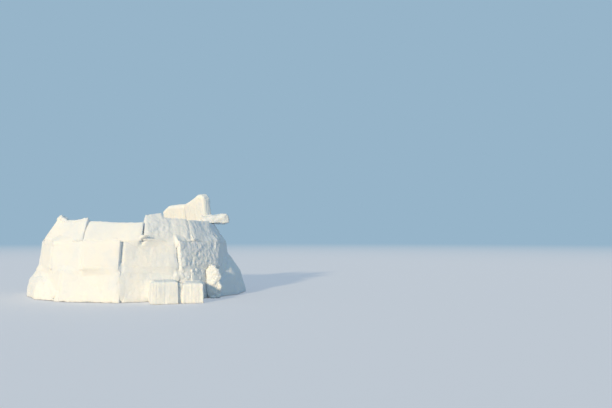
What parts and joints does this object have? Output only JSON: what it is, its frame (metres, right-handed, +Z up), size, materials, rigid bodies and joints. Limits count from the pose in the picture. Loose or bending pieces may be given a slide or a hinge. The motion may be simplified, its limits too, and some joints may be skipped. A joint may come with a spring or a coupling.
{
  "type": "igloo",
  "caption": "Half-built igloo: an open ring of leaning snow blocks in three courses, with spare blocks on the rim and at the foot.",
  "frame": {"origin": "the dome's axis on the ground, which is the middle of the footprint's box", "axes": "+Z up, -Y the front that faces the viewer, +X to the right"},
  "size_m": [3.0162, 3.2606, 1.4183],
  "materials": {
    "weathered_snow": "wind-packed snow block, weathered and grainy",
    "fresh_cut_snow": "freshly cut packed snow, sawn and crumbly",
    "banked_snow": "loose shovelled snow, soft and lumpy"
  },
  "bodies": {
    "root": {"banked_snow_back_left": "banked_snow", "banked_snow_back_right": "banked_snow", "banked_snow_left": "banked_snow", "banked_snow_right": "banked_snow", "first_course_block_01": "weathered_snow", "first_course_block_02": "weathered_snow", "first_course_block_03": "weathered_snow", "first_course_block_04": "weathered_snow", "first_course_block_05": "weathered_snow", "first_course_block_06": "weathered_snow", "first_course_block_07": "weathered_snow", "first_course_block_08": "weathered_snow", "first_course_block_09": "weathered_snow", "first_course_block_10": "weathered_snow", "low_upright_block": "fresh_cut_snow", "lying_block": "fresh_cut_snow", "rough_lump": "fresh_cut_snow", "second_course_block_01": "weathered_snow", "second_course_block_02": "weathered_snow", "second_course_block_03": "weathered_snow", "second_course_block_04": "weathered_snow", "second_course_block_05": "weathered_snow", "second_course_block_06": "weathered_snow", "second_course_block_07": "weathered_snow", "second_course_block_08": "weathered_snow", "second_course_block_09": "weathered_snow", "second_course_block_10": "weathered_snow", "second_course_block_11": "weathered_snow", "second_course_block_12": "weathered_snow", "second_course_block_13": "weathered_snow", "spare_block_left": "fresh_cut_snow", "spare_block_right": "fresh_cut_snow", "tall_upright_block": "fresh_cut_snow", "third_course_block_01": "weathered_snow", "third_course_block_02": "weathered_snow", "third_course_block_03": "weathered_snow", "third_course_block_04": "weathered_snow", "third_course_block_05": "weathered_snow", "third_course_block_06": "weathered_snow", "third_course_block_07": "weathered_snow", "third_course_block_08": "weathered_snow", "third_course_block_09": "weathered_snow", "third_course_block_10": "weathered_snow", "third_course_block_11": "weathered_snow", "third_course_block_12": "weathered_snow"}
  },
  "joints": []
}
